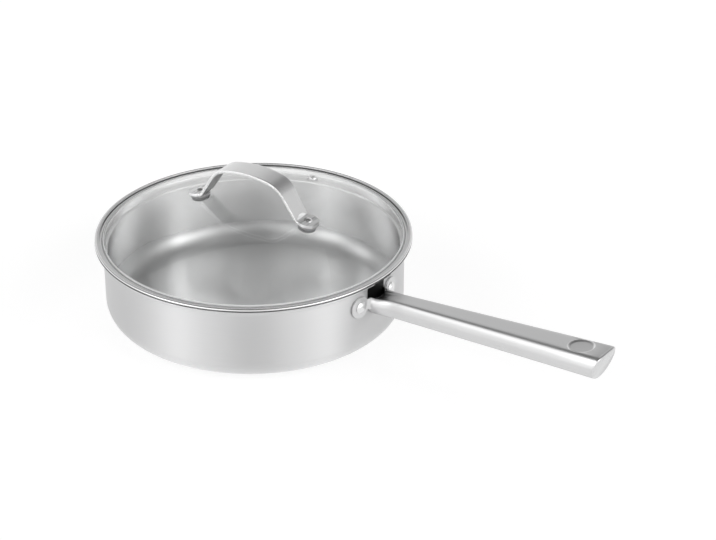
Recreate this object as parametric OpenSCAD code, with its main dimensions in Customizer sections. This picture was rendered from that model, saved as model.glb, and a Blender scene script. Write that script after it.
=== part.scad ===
// Stainless steel saute pan with one long hollow handle and a domed glass lid.
// The origin is the middle of the base where the pan stands, +Z is up and the
// handle runs along +X. All sizes are in millimetres.

/* [Pan] */
// Outer diameter of the straight wall
wall_d = 240.8; // [200:0.4:280]
// Height of the lip that the lid rests on
pan_h = 70; // [60:1:90]
// Thickness of the pressed steel
wall_t = 0.9; // [0.7:0.1:1.2]
// Outer radius of the corner between wall and floor
corner_r = 16.4; // [12:0.2:20]
// Radius of the flare under the pouring lip
flare_r = 7.1; // [6.5:0.1:8]
// How far the lip stands out past the wall
lip_out = 6.1; // [5.8:0.1:6.6]

/* [Base] */
// How far the heat-spreading base stays inside the flat of the floor
base_inset = 6; // [2:0.5:20]
// Thickness of the aluminium core
core_t = 4.3; // [3:0.1:6]
// Thickness of the steel cap round the core
cap_t = 0.6; // [0.5:0.1:1]
// Rounding of the cap's lower edge
cap_edge_r = 2.6; // [2:0.1:3]

/* [Handle] */
// Length of the handle's flat top from the wall to the end
handle_len = 206.5; // [160:0.5:240]
// Width of the flat top where the handle meets the wall
top_w_near = 14.9; // [13:0.1:17]
// Width of the flat top at the far end
top_w_far = 26.2; // [22:0.1:30]
// Depth of the handle at the wall
depth_near = 17.5; // [15:0.5:18]
// Depth of the handle at the far end
depth_far = 22; // [18:0.5:24]
// Upward slope of the handle in degrees
handle_rise = 4.85; // [2:0.05:8]
// How far the top of the handle starts below the lip
handle_drop = 13.5; // [12:0.1:16]
// Thickness of the handle's sheet
shell_t = 1.3; // [1:0.1:1.5]
// Undercut of the handle's end in degrees
end_slant = 17; // [5:1:25]
// Diameter of the round dish pressed into the top near the end
dish_d = 19.5; // [14:0.5:20]

/* [Ears and pan rivets] */
// Distance between the two rivets, measured straight across
ear_span = 39.8; // [38:0.2:44]
// Radius of each ear
ear_r = 8.8; // [8.2:0.1:9]
// Thickness of the ears
ear_t = 2; // [1.5:0.1:2.5]
// Radius of the rivet heads
pan_head_r = 5; // [4:0.1:5.5]

/* [Lid] */
// Height of the glass above its own edge
dome_h = 24; // [16:0.5:30]
// Thickness of the glass
glass_t = 4; // [3.4:0.1:4.2]
// Turn of the lid on the pan in degrees
lid_turn = 4.8; // [0:0.1:20]
// How far the steam vent stands in from the pan's straight wall
vent_in = 32.4; // [25:0.2:50]

/* [Lid handle] */
// Distance between the strap's two rivets
strap_span = 102; // [92:1:116]
// Width of the strap at its crown
strap_w = 19; // [18:0.5:22]
// Thickness of the strap
strap_t = 2.3; // [1.8:0.1:3]
// Slope of the strap's legs in degrees
leg_slope = 57; // [50:1:60]
// Radius of the strap's round feet
foot_r = 9; // [8.5:0.1:10]

/* [Hidden] */
$fn = 96;
eps = 0.02;
arc_steps = 14;

wall_r = wall_d / 2;
inner_r = wall_r - wall_t;
lip_r = wall_r + lip_out;
base_h = core_t + cap_t;
base_r = wall_r - corner_r - base_inset;
lip_gap = 0.3;
flare_z = pan_h - lip_gap - wall_t - flare_r;
flare_x = wall_r + flare_r;

handle_z = pan_h - handle_drop;
waist_x = 22;
lobe_w = 20;
mouth_x = 5;
mouth_w = lobe_w - 0.6;
scoop_depth = 2.6;
through_h = 2 * depth_far;
dish_x = handle_len - 22.5;
dish_deep = 0.9;
end_cap_t = 2.4;

ear_angle = asin(ear_span / 2 / (wall_r + ear_t));
ear_y = ear_span / 2;
ear_z = handle_z - 5.3;
pan_shank_r = 3;
pan_head_h = 2.1;
pan_tail_h = 1.3;

ring_t = 0.6;
ring_h = 2.1;
ring_r = lip_r + 0.8;
flange_z = 1.5 * ring_t + 0.1;
seam_r = inner_r + 1.4;
glass_r = seam_r - 0.7;
glass_edge_z = pan_h + ring_h - 0.1;
skirt_r = inner_r - 1.2;
skirt_deep = 9.7;
dome_r = (glass_r * glass_r + dome_h * dome_h) / (2 * dome_h);
dome_z = glass_edge_z + dome_h - dome_r;
under_r = dome_r - glass_t;
shelf_top_z = dome_z + sqrt(under_r * under_r - glass_r * glass_r) - 0.2;

foot_tilt = asin(strap_span / 2 / dome_r);
vent_tilt = asin((wall_r - vent_in) / dome_r);
gasket_t = 1.9;
inner_gasket_t = 1.3;
inner_gasket_r = 7;
washer_t = 0.8;
lid_shank_r = 2;
lid_head_r = 3.6;
lid_head_h = 1.8;
lid_tail_h = 1.2;
lid_hole_r = 4;
vent_hole_r = 3.2;
crown_x = 21;

function arc(cx, cy, r, a0, a1, n = arc_steps) =
  [for (i = [0:n]) let (a = a0 + (a1 - a0) * i / n) [cx + r * cos(a), cy + r * sin(a)]];

// Outline of a bent sheet of thickness t whose middle line is the path
function normal_of(v) = [-v[1], v[0]] / norm(v);
function mitre(path, i) =
  let (
    a = i == 0 ? path[1] - path[0] : path[i] - path[i - 1],
    b = i == len(path) - 1 ? a : path[i + 1] - path[i],
    m = normal_of(a) + normal_of(b)
  ) m / (1 + normal_of(a) * normal_of(b));
function sheet(path, t) = concat(
  [for (i = [0:len(path) - 1]) path[i] + mitre(path, i) * t / 2],
  [for (i = [len(path) - 1:-1:0]) path[i] - mitre(path, i) * t / 2]
);

// Pan

module pan_body() {
  lip_top = acos((lip_r - flare_x) / (flare_r + wall_t));
  lip_low = acos((lip_r - flare_x) / flare_r);
  lip_mid_z = flare_z + flare_r + wall_t / 2;
  color("gainsboro") difference() {
    rotate_extrude() polygon(concat(
      [[0, base_h + wall_t]],
      arc(wall_r - corner_r, base_h + corner_r, corner_r - wall_t, -90, 0),
      arc(flare_x, flare_z, flare_r + wall_t, 180, lip_top),
      arc(lip_r, lip_mid_z, wall_t / 2, 75, -75, 4),
      arc(flare_x, flare_z, flare_r, lip_low, 180),
      arc(wall_r - corner_r, base_h + corner_r, corner_r, 0, -90),
      [[0, base_h]]
    ));
    pan_rivet_holes();
  }
}

module base_core() {
  r = base_r - cap_t;
  edge = cap_edge_r - cap_t;
  color("silver") rotate_extrude() polygon(concat(
    [[0, base_h], [0, cap_t]],
    arc(r - edge, cap_t + edge, edge, -90, 0, 8),
    [[r, base_h]]
  ));
}

module base_cap() {
  edge_x = base_r - cap_edge_r;
  color("lightgray") rotate_extrude() polygon(concat(
    [[0, cap_t], [0, 0]],
    arc(edge_x, cap_edge_r, cap_edge_r, -90, 0, 8),
    [[base_r, base_h], [base_r - cap_t, base_h]],
    arc(edge_x, cap_edge_r, cap_edge_r - cap_t, 0, -90, 8)
  ));
}

// Handle

module at_handle() {
  translate([wall_r, 0, handle_z]) rotate([0, -handle_rise, 0]) children();
}

// Local z runs straight out of the wall at the middle of an ear
module at_ear(side) {
  rotate([0, 0, side * ear_angle]) translate([wall_r, 0, ear_z]) rotate([0, 90, 0]) children();
}

module pan_rivet_holes() {
  for (side = [-1, 1]) at_ear(side) cylinder(r = pan_shank_r, h = through_h, center = true);
}

// Cross-section of the handle at x, drawn in by inset: an ellipse cut off a
// third of the way down, with a scoop in its flat top near the wall
function ease(u) = (1 + cos(180 * min(max(u, 0), 1))) / 2;
function top_w(x) = top_w_near + (top_w_far - top_w_near) * x / handle_len
  + (lobe_w - top_w_near) * ease(x / waist_x);
function depth(x) = depth_near + (depth_far - depth_near) * x / handle_len;
function scoop(x, u) = scoop_depth * ease((x - mouth_x) / (waist_x - mouth_x)) * ease(abs(u));
function section(x, inset = 0) =
  let (
    b = depth(x) * 2 / 3, c = depth(x) / 3, a = top_w(x) / 2 / cos(asin(c / b)),
    t = asin((c - inset) / (b - inset)), half = (a - inset) * cos(t)
  ) concat(
    [for (i = [0:24]) let (q = t - (180 + 2 * t) * i / 24)
      [x, (a - inset) * cos(q), (b - inset) * sin(q) - c]],
    [for (i = [1:7]) let (u = i / 4 - 1) [x, half * u, -inset - scoop(x, u)]]
  );

// Skin through sections that all have the same number of points
module loft(sections) {
  n = len(sections[0]);
  last = (len(sections) - 1) * n;
  polyhedron(
    points = [for (s = sections) each s],
    faces = concat(
      [[for (j = [n - 1:-1:0]) j], [for (j = [0:n - 1]) last + j]],
      [for (i = [0:len(sections) - 2]) for (j = [0:n - 1])
        let (k = (j + 1) % n) each [
          [i * n + j, i * n + k, (i + 1) * n + k],
          [i * n + j, (i + 1) * n + k, (i + 1) * n + j]
        ]]
    )
  );
}

module tube_solid(inset = 0, from = -3) {
  loft([for (x = concat(from < 0 ? [from, 3, 6.5, 10, 13.5, 17.5, waist_x] : [from], [handle_len + 4]))
    section(x, inset)]);
}

// Everything past the slanted end, back from it by the given amount
module past_end(back = 0) {
  translate([handle_len - back, 0, 0]) rotate([0, end_slant, 0])
    translate([0, -40, -60]) cube([60, 80, 120]);
}

module before_end(back) {
  translate([handle_len - back, 0, 0]) rotate([0, end_slant, 0])
    translate([-80, -40, -60]) cube([80, 80, 120]);
}

// Ears that wrap the wall; each runs in to the side of the handle
module ears() {
  blend = 3;
  blend_h = sqrt(ear_r * ear_r - blend * blend) - 0.1;
  join_y = mouth_w / 2 - 0.7;
  join_top = 5.2;
  join_low = -7;
  intersection() {
    translate([0, 0, ear_z - ear_r]) cylinder(r = wall_r + ear_t, h = 2 * ear_r, $fn = 180);
    for (side = [-1, 1]) translate([0, 0, ear_z]) rotate([90, 0, 90]) linear_extrude(wall_r + ear_r) {
      translate([side * ear_y, 0]) circle(r = ear_r);
      polygon([
        [side * join_y, join_top], [side * (ear_y - blend), blend_h],
        [side * (ear_y - blend), -blend_h], [side * join_y, join_low]
      ]);
    }
  }
}

// Plan of the opening between the wall and the curved edge of the top sheet
function mouth_plan() = concat(
  [for (i = [0:16]) let (a = -90 + 180 * i / 16)
    [mouth_x * pow(cos(a), 0.8), mouth_w / 2 * sign(a) * pow(abs(sin(a)), 0.8)]],
  [[-4, mouth_w / 2], [-4, -mouth_w / 2]]
);

module handle_shell() {
  color("silver") difference() {
    union() {
      at_handle() tube_solid();
      ears();
    }
    cylinder(r = wall_r + eps, h = 200, $fn = 180);
    at_handle() {
      difference() {
        tube_solid(shell_t);
        translate([dish_x, 0, -dish_deep - shell_t]) cylinder(d = dish_d + 2 * shell_t, h = 4);
      }
      translate([0, 0, -depth_near / 2]) linear_extrude(depth_near) polygon(mouth_plan());
      translate([dish_x, 0, -dish_deep]) cylinder(d = dish_d, h = 5);
      past_end(end_cap_t);
    }
    pan_rivet_holes();
  }
}

// Plate that closes the tube, with a bevelled face
module handle_end_cap() {
  bevel = 0.9;
  from = handle_len - depth_far * tan(end_slant) - 2 * end_cap_t;
  color("lightgray") at_handle() hull() {
    difference() {
      tube_solid(0, from);
      past_end(bevel);
      before_end(end_cap_t - eps);
    }
    difference() {
      tube_solid(bevel, from);
      past_end();
      before_end(bevel);
    }
  }
}

// Solid rivet with a low domed head and a formed tail
module rivet(shank_r, head_r, head_h, grip, tail_r, tail_h) {
  ball = (head_r * head_r + head_h * head_h) / (2 * head_h);
  rotate_extrude() polygon(concat(
    [[0, -grip - tail_h], [tail_r - 0.4, -grip - tail_h], [tail_r, 0.4 - grip - tail_h],
     [tail_r, -grip], [shank_r, -grip], [shank_r, 0]],
    arc(0, head_h - ball, ball, acos(head_r / ball), 90, 8)
  ));
}

module handle_rivet(side) {
  seat_dip = inner_r - sqrt(inner_r * inner_r - pan_head_r * pan_head_r);
  color("whitesmoke") at_ear(side) translate([0, 0, ear_t + eps])
    rivet(pan_shank_r - eps, pan_head_r, pan_head_h, wall_t + ear_t + 2 * eps + seat_dip,
      pan_head_r, pan_tail_h);
}

module handle_rivet_left() { handle_rivet(1); }
module handle_rivet_right() { handle_rivet(-1); }

// Lid

// Local z runs straight out of the glass, and 0 is its outer face
module on_dome(tilt, turn = 0) {
  translate([0, 0, dome_z]) rotate([0, 0, lid_turn + turn]) rotate([0, tilt, 0])
    translate([0, 0, dome_r]) children();
}

module dome_ball(inset = 0) {
  translate([0, 0, -dome_r]) sphere(r = dome_r - inset, $fn = 360);
}

module glass_solid() {
  intersection() {
    translate([0, 0, pan_h - 10]) cylinder(r = glass_r, h = 60, $fn = 180);
    translate([0, 0, dome_z + dome_r]) difference() {
      dome_ball();
      dome_ball(glass_t);
    }
  }
}

module lid_glass() {
  color("azure", 0.35) difference() {
    glass_solid();
    for (side = [-1, 1]) on_dome(side * foot_tilt)
      cylinder(r = lid_hole_r, h = through_h, center = true);
    on_dome(vent_tilt, 90) cylinder(r = vent_hole_r, h = through_h, center = true);
  }
}

// Rolled band: skirt with a curled edge, shelf and wall round the glass, and
// a flange that ends in a rolled bead and folds back over the pan's lip
module lid_rim_ring() {
  bend = ring_t;
  curl = 0.8;
  skirt_x = skirt_r - ring_t / 2;
  shelf_z = shelf_top_z - pan_h - ring_t / 2;
  wall_x = seam_r + ring_t / 2;
  roll = (ring_h - ring_t) / 2;
  roll_from = 180 + asin((ring_h / 2 - flange_z) / roll);
  color("whitesmoke") translate([0, 0, pan_h]) rotate_extrude() polygon(sheet(concat(
    arc(skirt_x - curl, curl - skirt_deep, curl, -160, 0, 8),
    arc(skirt_x + bend, shelf_z - bend, bend, 180, 90, 5),
    arc(wall_x - bend, shelf_z + bend, bend, -90, 0, 5),
    arc(wall_x + bend, flange_z - bend, bend, 180, 90, 5),
    arc(ring_r - ring_t / 2 - roll, ring_h / 2, roll, roll_from, -90, 12),
    [[wall_x + ring_t * 2, ring_t / 2]]
  ), ring_t));
}

// Silicone that beds the glass in the ring
module lid_rim_seal() {
  start = skirt_r + ring_t;
  low = shelf_top_z + eps;
  side = seam_r - eps;
  top = pan_h + flange_z;
  corner = ring_t / 2 + eps;
  color("dimgray") rotate_extrude() polygon(concat(
    arc(0, dome_z, under_r, acos(start / under_r), acos(glass_r / under_r), 4),
    [[glass_r, top], [side, top],
     [side, low + corner], [side - corner, low], [start, low]]
  ));
}

// Middle line of the strap's right half, from the crown out to the foot
function strap_half() =
  let (
    crown_r = 90, shoulder_r = 20, heel_r = 4 - strap_t / 2,
    foot = [0, dome_z] + (dome_r + gasket_t + strap_t / 2) * [sin(foot_tilt), cos(foot_tilt)],
    along = [cos(foot_tilt), -sin(foot_tilt)],
    heel_end = foot - along * (lid_head_r + 1.2),
    heel_mid = heel_end + heel_r * [sin(foot_tilt), cos(foot_tilt)],
    heel_start = heel_mid - heel_r * [sin(leg_slope), cos(leg_slope)],
    crown_a = asin(crown_x / crown_r),
    shoulder_run = shoulder_r * (sin(leg_slope) - sin(crown_a)),
    shoulder_fall = shoulder_r * (cos(crown_a) - cos(leg_slope)),
    leg_run = heel_start[0] - crown_x - shoulder_run,
    crown_z = heel_start[1] + leg_run * tan(leg_slope) + shoulder_fall + crown_r * (1 - cos(crown_a)),
    shoulder_mid = [crown_x, crown_z - crown_r * (1 - cos(crown_a))]
      - shoulder_r * [sin(crown_a), cos(crown_a)]
  ) concat(
    arc(0, crown_z - crown_r, crown_r, 90, 90 - crown_a, 5),
    arc(shoulder_mid[0], shoulder_mid[1], shoulder_r, 85 - crown_a, 90 - leg_slope, 8),
    arc(heel_mid[0], heel_mid[1], heel_r, 270 - leg_slope, 270 - foot_tilt, 6),
    [foot + along * (foot_r + 4)]
  );

// Plan of the strap: widest at the crown, drawn in above round feet
function strap_plan() =
  let (
    x = (dome_r + gasket_t + strap_t / 2) * sin(foot_tilt),
    neck = foot_r - 0.9, reach = sqrt(foot_r * foot_r - neck * neck),
    neck_x = x - reach, neck_a = acos(-reach / foot_r),
    edge = [for (i = [0:10]) let (u = i / 10)
      [crown_x + (neck_x - crown_x) * u, strap_w / 2 - (strap_w / 2 - neck) * (1 - cos(180 * u)) / 2]],
    half = concat(edge, arc(x, 0, foot_r, neck_a - 6, 0, 10))
  ) concat(
    half,
    [for (i = [len(half) - 2:-1:0]) [half[i][0], -half[i][1]]],
    [for (p = half) -p],
    [for (i = [len(half) - 2:-1:0]) [-half[i][0], half[i][1]]]
  );

module lid_strap() {
  half = strap_half();
  path = concat([for (i = [len(half) - 1:-1:1]) [-half[i][0], half[i][1]]], half);
  color("gainsboro") difference() {
    rotate([0, 0, lid_turn]) intersection() {
      rotate([90, 0, 0]) linear_extrude(strap_w + 10, center = true) polygon(sheet(path, strap_t));
      translate([0, 0, pan_h]) linear_extrude(100) polygon(strap_plan());
    }
    for (side = [-1, 1]) on_dome(side * foot_tilt)
      cylinder(r = lid_shank_r, h = through_h, center = true);
  }
}

module strap_rivet(side) {
  grip = gasket_t + strap_t + glass_t + inner_gasket_t + washer_t;
  color("whitesmoke") on_dome(side * foot_tilt) translate([0, 0, gasket_t + strap_t])
    rivet(lid_shank_r - eps, lid_head_r, lid_head_h, grip, lid_head_r - 0.3, lid_tail_h);
}

// Silicone disc under a foot of the strap, with a sleeve in the hole of the glass
module strap_gasket(side) {
  r = foot_r - 0.6;
  sleeve_r = lid_hole_r - eps;
  top = gasket_t - eps;
  color("dimgray") on_dome(side * foot_tilt) rotate_extrude() polygon(concat(
    [[lid_shank_r, top], [lid_shank_r, 0.2 - glass_t], [sleeve_r, 0.2 - glass_t]],
    arc(0, -dome_r, dome_r, acos(sleeve_r / dome_r), acos(r / dome_r), 3),
    [[r, top - 0.3], [r - 0.3, top]]
  ));
}

module inner_gasket(side) {
  low = -glass_t - inner_gasket_t;
  color("dimgray") on_dome(side * foot_tilt) rotate_extrude() polygon(concat(
    [[lid_shank_r, low], [inner_gasket_r, low]],
    arc(0, -dome_r, under_r, acos(inner_gasket_r / under_r), acos(lid_shank_r / under_r), 3)
  ));
}

module inner_washer(side) {
  color("lightgray") on_dome(side * foot_tilt) difference() {
    translate([0, 0, -glass_t - inner_gasket_t - washer_t])
      cylinder(r = inner_gasket_r - 1, h = washer_t);
    cylinder(r = lid_shank_r, h = through_h, center = true);
  }
}

module strap_rivet_near() { strap_rivet(1); }
module strap_rivet_far() { strap_rivet(-1); }
module strap_gasket_near() { strap_gasket(1); }
module strap_gasket_far() { strap_gasket(-1); }
module inner_gasket_near() { inner_gasket(1); }
module inner_gasket_far() { inner_gasket(-1); }
module inner_washer_near() { inner_washer(1); }
module inner_washer_far() { inner_washer(-1); }

// Flanged steel tube through the glass
module vent_eyelet() {
  barrel = vent_hole_r - 0.05;
  bore = barrel - 0.95;
  flange = barrel + 1.65;
  flange_t = 0.8;
  under = -glass_t - 0.1;
  color("silver") on_dome(vent_tilt, 90) rotate_extrude() polygon([
    [bore, under - flange_t], [flange - 0.6, under - flange_t], [flange - 0.3, under],
    [barrel, under], [barrel, 0], [flange, 0], [flange - 0.3, flange_t * 0.6],
    [flange - 1.2, flange_t], [bore + 0.4, flange_t], [bore, flange_t / 2]
  ]);
}

pan_body();
base_core();
base_cap();
handle_shell();
handle_end_cap();
handle_rivet_left();
handle_rivet_right();
lid_glass();
lid_rim_ring();
lid_rim_seal();
lid_strap();
strap_rivet_near();
strap_rivet_far();
strap_gasket_near();
strap_gasket_far();
inner_gasket_near();
inner_gasket_far();
inner_washer_near();
inner_washer_far();
vent_eyelet();
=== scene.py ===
import math

import bmesh
import bpy
from mathutils import Euler, Matrix, Vector


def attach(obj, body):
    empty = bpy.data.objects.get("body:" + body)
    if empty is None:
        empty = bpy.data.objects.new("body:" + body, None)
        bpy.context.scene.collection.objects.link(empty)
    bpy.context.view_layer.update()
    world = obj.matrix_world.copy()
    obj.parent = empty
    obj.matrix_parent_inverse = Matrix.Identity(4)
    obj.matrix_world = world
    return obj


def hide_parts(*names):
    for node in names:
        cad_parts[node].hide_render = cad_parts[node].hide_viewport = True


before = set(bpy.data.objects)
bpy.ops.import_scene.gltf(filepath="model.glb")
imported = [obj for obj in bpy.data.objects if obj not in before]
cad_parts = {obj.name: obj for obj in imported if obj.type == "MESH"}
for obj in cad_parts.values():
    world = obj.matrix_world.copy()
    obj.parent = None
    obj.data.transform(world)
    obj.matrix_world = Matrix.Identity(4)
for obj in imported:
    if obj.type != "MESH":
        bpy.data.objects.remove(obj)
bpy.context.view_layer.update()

print("frame loaded:", len(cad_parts), "nodes")


# helpers for meshes

def deselectAll():
    if bpy.context.mode != "OBJECT":
        bpy.ops.object.mode_set(mode="OBJECT")
    bpy.ops.object.select_all(action="DESELECT")


def makeActive(piece):
    deselectAll()
    piece.select_set(True)
    bpy.context.view_layer.objects.active = piece


def startEdit(piece):
    makeActive(piece)
    bpy.ops.object.mode_set(mode="EDIT")
    bpy.ops.mesh.select_all(action="DESELECT")


def endEdit():
    bpy.ops.object.mode_set(mode="OBJECT")


def applyPlace():
    bpy.ops.object.transform_apply(location=True, rotation=True, scale=True)


def selectOnly(piece, choose):
    # selects the vertices that the function chooses from the mesh, and nothing else
    bpy.ops.mesh.select_mode(type="VERT")
    bpy.ops.mesh.select_all(action="DESELECT")
    mesh = bmesh.from_edit_mesh(piece.data)
    mesh.verts.ensure_lookup_table()
    for v in choose(mesh.verts):
        v.select_set(True)
    mesh.select_flush(True)
    bmesh.update_edit_mesh(piece.data)


def pick(piece, test):
    selectOnly(piece, lambda verts: [v for v in verts if test(v)])


def pickRow(piece, row):
    selectOnly(piece, lambda verts: [verts[i] for i in row])


def pickedRow(piece):
    mesh = bmesh.from_edit_mesh(piece.data)
    return [v.index for v in mesh.verts if v.select]


def pullOut(move):
    bpy.ops.mesh.extrude_region_move(TRANSFORM_OT_translate={"value": move})


def shift(move):
    bpy.ops.transform.translate(value=move)


def stretch(value, centre):
    bpy.ops.transform.resize(value=value, center_override=centre)


def turnOutwards():
    bpy.ops.mesh.select_all(action="SELECT")
    bpy.ops.mesh.normals_make_consistent(inside=False)


def squareUp():
    bpy.ops.mesh.select_all(action="SELECT")
    bpy.ops.mesh.remove_doubles(threshold=1e-6)
    turnOutwards()


def arcPoints(centreX, centreZ, radius, start, stop, count):
    turns = [math.radians(start + (stop - start) * i / count) for i in range(count + 1)]
    return [(centreX + radius * math.cos(t), centreZ + radius * math.sin(t)) for t in turns]


def turnedPiece(name, outline, steps=192):
    # pulls a circle from ring to ring of the outline; a ring of no width closes in a point
    rings = [p for p in outline if p[0] > 1e-7]
    deselectAll()
    bpy.ops.mesh.primitive_circle_add(vertices=steps, radius=rings[0][0], location=(0, 0, rings[0][1]))
    piece = bpy.context.object
    piece.name = name
    applyPlace()
    bpy.ops.object.mode_set(mode="EDIT")
    bpy.ops.mesh.select_all(action="SELECT")
    loop = rings + ([rings[0]] if len(rings) == len(outline) else [])
    for (r0, z0), (r1, z1) in zip(loop, loop[1:]):
        pullOut((0, 0, z1 - z0))
        stretch((r1 / r0, r1 / r0, 1), (0, 0, z1))
    if outline[-1][0] <= 1e-7:
        pullOut((0, 0, outline[-1][1] - rings[-1][1]))
        bpy.ops.mesh.merge(type="CENTER")
    if outline[0][0] <= 1e-7:
        pickRow(piece, range(steps))
        pullOut((0, 0, outline[0][1] - rings[0][1]))
        bpy.ops.mesh.merge(type="CENTER")
    squareUp()
    endEdit()
    return piece


def applyModifier(piece, kind, **settings):
    makeActive(piece)
    modifier = piece.modifiers.new(kind.lower(), kind)
    for key, value in settings.items():
        setattr(modifier, key, value)
    bpy.ops.object.modifier_apply(modifier=modifier.name)


def cutAway(piece, cutter):
    applyModifier(piece, "BOOLEAN", operation="DIFFERENCE", object=cutter, solver="EXACT")
    bpy.data.objects.remove(cutter)


def thicken(piece, thickness, offset):
    applyModifier(
        piece, "SOLIDIFY", thickness=thickness, offset=offset, use_even_offset=True, use_quality_normals=True
    )


def softenEdges(piece, width, angle):
    # rounds the edges that are sharper than the angle
    applyModifier(
        piece, "BEVEL", width=width, segments=3, limit_method="ANGLE", angle_limit=math.radians(angle)
    )


def smooth(piece, angle=35):
    makeActive(piece)
    bpy.ops.object.shade_smooth_by_angle(angle=math.radians(angle))


def placePiece(piece, place):
    piece.matrix_world = place
    makeActive(piece)
    applyPlace()


def dressPiece(piece, material):
    piece.data.materials.clear()
    piece.data.materials.append(material)


def finishPiece(piece, material, body, node):
    dressPiece(piece, material)
    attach(piece, body)
    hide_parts(node)


# helpers for materials

def newMaterial(name):
    material = bpy.data.materials.new(name)
    material.use_nodes = True
    material.node_tree.nodes.clear()
    return material, material.node_tree


def addNode(tree, kind, **settings):
    node = tree.nodes.new("ShaderNode" + kind)
    for key, value in settings.items():
        setattr(node, key, value)
    return node


def feed(tree, socket, value):
    # links an output to the socket, or sets the socket to a plain value
    if isinstance(value, bpy.types.NodeSocket):
        tree.links.new(value, socket)
    else:
        socket.default_value = value


def addMath(tree, operation, first, second=0, clamp=False):
    node = addNode(tree, "Math", operation=operation, use_clamp=clamp)
    feed(tree, node.inputs[0], first)
    feed(tree, node.inputs[1], second)
    return node.outputs[0]


def addVectorMath(tree, operation, first, second=(0, 0, 0)):
    node = addNode(tree, "VectorMath", operation=operation)
    feed(tree, node.inputs[0], first)
    feed(tree, node.inputs[1], second)
    return node.outputs["Value" if operation in ("LENGTH", "DISTANCE", "DOT_PRODUCT") else "Vector"]


def fade(tree, value, start, stop, low=0, high=1, way="LINEAR"):
    # runs from low to high while the value runs from start to stop
    node = addNode(tree, "MapRange", interpolation_type=way)
    names = ("Value", "From Min", "From Max", "To Min", "To Max")
    for name, level in zip(names, (value, start, stop, low, high)):
        feed(tree, node.inputs[name], level)
    return node.outputs[0]


def mix(tree, share, first, second, blend="MIX", kind="RGBA"):
    node = addNode(tree, "Mix", data_type=kind, blend_type=blend)
    for name, value in (("Factor", share), ("A", first), ("B", second)):
        feed(tree, node.inputs[name], value)
    return node.outputs["Result"]


def mixShaders(tree, share, first, second):
    node = addNode(tree, "MixShader")
    for socket, value in zip(node.inputs, (share, first, second)):
        tree.links.new(value, socket)
    return node.outputs[0]


def finishTree(tree, shader, kind="OutputMaterial"):
    tree.links.new(shader, addNode(tree, kind).inputs["Surface"])


def grey(level):
    return (level, level, level, 1)


def addNoise(tree, place, scale, detail=2):
    node = addNode(tree, "TexNoise")
    for name, value in (("Vector", place), ("Scale", scale), ("Detail", detail)):
        feed(tree, node.inputs[name], value)
    return node.outputs["Fac"]


def addRamp(tree, share, stops, way="LINEAR"):
    node = addNode(tree, "ValToRGB")
    node.color_ramp.interpolation = way
    marks = node.color_ramp.elements
    for place, colour in stops[1:-1]:
        marks.new(place)
    for mark, (place, colour) in zip(marks, stops):
        mark.position = place
        mark.color = colour
    feed(tree, node.inputs[0], share)
    return node.outputs[0]


def addBump(tree, height, strength, distance):
    node = addNode(tree, "Bump")
    for name, value in (("Height", height), ("Strength", strength), ("Distance", distance)):
        feed(tree, node.inputs[name], value)
    return node.outputs[0]


def addMapping(tree, place, rotation, scale, kind="POINT"):
    # the rotation is in degrees
    node = addNode(tree, "Mapping", vector_type=kind)
    feed(tree, node.inputs["Vector"], place)
    node.inputs["Rotation"].default_value = [math.radians(a) for a in rotation]
    node.inputs["Scale"].default_value = scale
    return node.outputs[0]


def objectPlace(tree):
    return addNode(tree, "TexCoord").outputs["Object"]


def facingWay(tree):
    return addNode(tree, "TexCoord").outputs["Normal"]


def splitUp(tree, vector):
    node = addNode(tree, "SeparateXYZ")
    feed(tree, node.inputs[0], vector)
    return node.outputs


def roundPlace(tree):
    # where a point lies across the axis, how far from it and how high
    axes = splitUp(tree, objectPlace(tree))
    flat = addNode(tree, "CombineXYZ")
    for axis in ("X", "Y"):
        tree.links.new(axes[axis], flat.inputs[axis])
    return flat.outputs[0], addVectorMath(tree, "LENGTH", flat.outputs[0]), axes["Z"]


# camera, floor, sky and lamps

photoView = {"place": (0.9631, -1.1782, 0.8657), "round": 36.129, "down": 28.61, "lens": 107.81}

deselectAll()
bpy.ops.object.camera_add(
    location=photoView["place"],
    rotation=(math.radians(90 - photoView["down"]), 0, math.radians(photoView["round"])),
)
camera = bpy.context.object
camera.name = "photoCamera"
camera.data.sensor_width = 36
camera.data.lens = photoView["lens"]
camera.data.clip_start = 0.05
camera.data.clip_end = 100
bpy.context.scene.camera = camera
bpy.context.scene.view_settings.view_transform = "Standard"

studio = {
    "floorSize": 16, "floorZ": -0.0002, "floorGlow": 0.735, "floorColour": grey(0.36), "skyStrength": 2.8,
    # share of full strength round the room: 0.25 is behind the camera, 0.5 to its right, 0.75 beyond the pan
    "skyRound": (
        (0.0, 0.4), (0.04, 0.6), (0.09, 1.0), (0.16, 0.64), (0.25, 0.28), (0.34, 0.66), (0.41, 1.0),
        (0.48, 0.5), (0.53, 0.21), (0.63, 0.13), (0.71, 0.25), (0.75, 0.3), (0.79, 0.25), (0.87, 0.13),
        (0.94, 0.2), (1.0, 0.4),
    ),
    # the ceiling's level and the low walls' least level, each with the heights that it fades between
    "skyTop": 0.06, "topFade": (0.5, 0.84), "backdrop": 0.36, "backdropFade": (0.46, 0.12),
    "aim": (0.05, 0, 0.04),
    "lamps": {  # place, size and power
        "topBox": ((-0.5, 0.5, 2.2), (1.8, 1.8), 7),
        "leftStrip": ((-2.0, -0.9, 0.9), (0.7, 1.8), 5),
        "rightStrip": ((2.1, 0.6, 1.0), (0.6, 1.8), 4),
    },
}


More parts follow.
